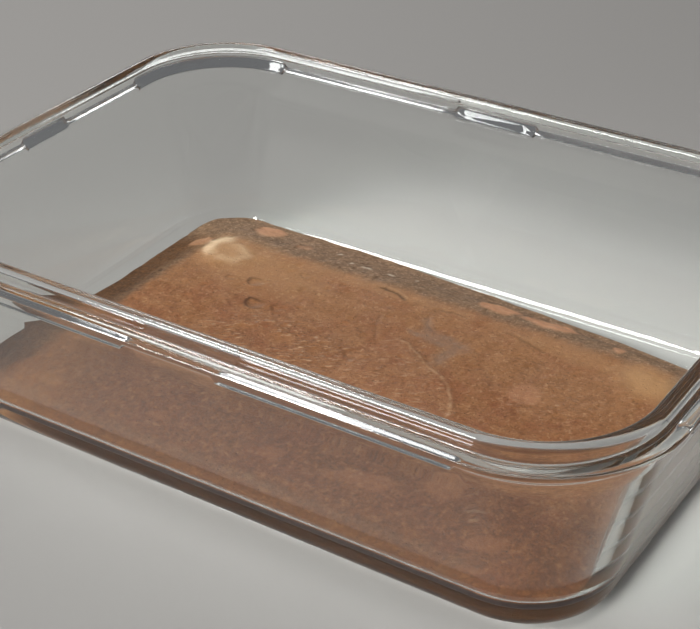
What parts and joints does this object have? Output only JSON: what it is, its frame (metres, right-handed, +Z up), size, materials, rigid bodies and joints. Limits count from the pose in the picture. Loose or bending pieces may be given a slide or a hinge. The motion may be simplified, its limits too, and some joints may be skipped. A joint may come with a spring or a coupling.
{
  "type": "chocolate cake in a glass dish",
  "caption": "Thin, uncut chocolate cake filling the floor of its own clear glass food container, a rectangular dish with rounded corners, leaning walls and a lipped rim.",
  "frame": {"origin": "on the table, under the middle of the dish", "axes": "+X along the long sides of the dish, +Y across it towards the far long side, +Z up"},
  "size_m": [0.208, 0.147, 0.0565],
  "materials": {
    "glass": "clear, polished",
    "cake": "baked crumb with a thin satin skin"
  },
  "bodies": {
    "root": {"dish": "glass", "cake": "cake"}
  },
  "joints": []
}
